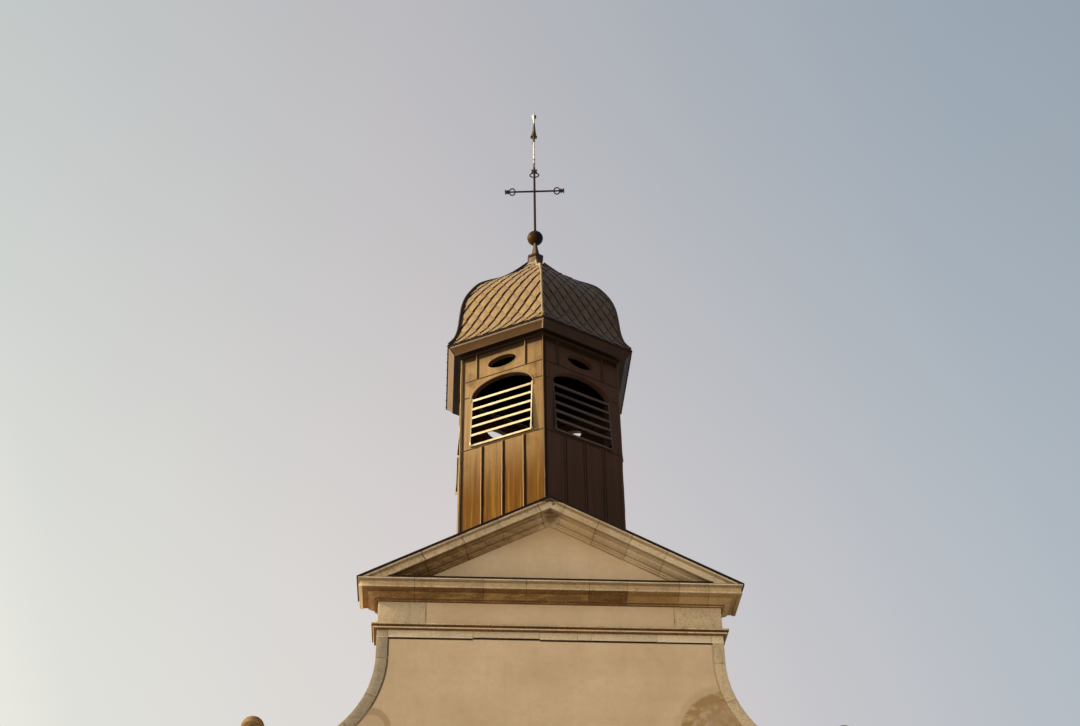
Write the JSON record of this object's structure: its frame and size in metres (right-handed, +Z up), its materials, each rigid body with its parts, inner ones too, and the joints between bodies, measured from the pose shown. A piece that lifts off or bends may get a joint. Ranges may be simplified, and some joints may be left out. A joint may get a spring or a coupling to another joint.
{
  "type": "church gable front with bell turret",
  "caption": "Upper stage of a classical church front: concave shoulders, ball finials, pediment, and a hexagonal louvred bell turret with bell-shaped roof, cross and weathercock.",
  "frame": {"origin": "at foot level on the front's centreline, in the plane of the frieze", "axes": "+Z up, -Y out of the front, +X to the right seen from the front"},
  "size_m": [10.9, 6.495, 18.612],
  "materials": {
    "stone": "weathered, dressed",
    "plaster": "matte lime plaster",
    "flashing": "dark weathered sheet",
    "roof_metal": "weathered dark metal",
    "bronze_sheet": "oxidised sheet with standing seams",
    "louvre_paint": "faded paint",
    "iron": "rusty wrought iron",
    "gilt": "dull worn gilding"
  },
  "bodies": {
    "building": {"foot_course": "stone", "shoulder_margin_right": "stone", "shoulder_margin_left": "stone", "string_band": "stone", "string_course": "stone", "frieze_block_right": "stone", "frieze_block_left": "stone", "cornice": "stone", "raking_cornice_right": "stone", "raking_cornice_left": "stone", "pedestal_right": "stone", "pedestal_left": "stone", "ball_finial_right": "stone", "ball_finial_left": "stone", "front_wall": "plaster", "frieze": "plaster", "tympanum": "plaster", "nave_wall_right": "plaster", "nave_wall_left": "plaster", "nave_back_wall": "plaster", "rake_flashing_right": "flashing", "rake_flashing_left": "flashing", "cornice_flashing": "flashing", "nave_roof_right": "roof_metal", "nave_roof_left": "roof_metal", "bell_roof": "roof_metal", "turret_wall_1": "bronze_sheet", "turret_wall_2": "bronze_sheet", "turret_wall_3": "bronze_sheet", "turret_wall_4": "bronze_sheet", "turret_wall_5": "bronze_sheet", "turret_wall_6": "bronze_sheet", "turret_cornice": "bronze_sheet", "roof_cap": "bronze_sheet", "louvre_1": "louvre_paint", "louvre_2": "louvre_paint", "louvre_3": "louvre_paint", "louvre_4": "louvre_paint", "louvre_5": "louvre_paint", "louvre_6": "louvre_paint", "cross": "iron", "finial_neck": "gilt", "finial_ball": "gilt"},
    "weathercock": {"weathercock": "gilt"}
  },
  "joints": [
    {"name": "weathercock_spin", "type": "hinge", "parent": "building", "child": "weathercock", "pos_m": [0, 2.9, 17.8], "axis": [0, 0, 1], "continuous": true}
  ]
}
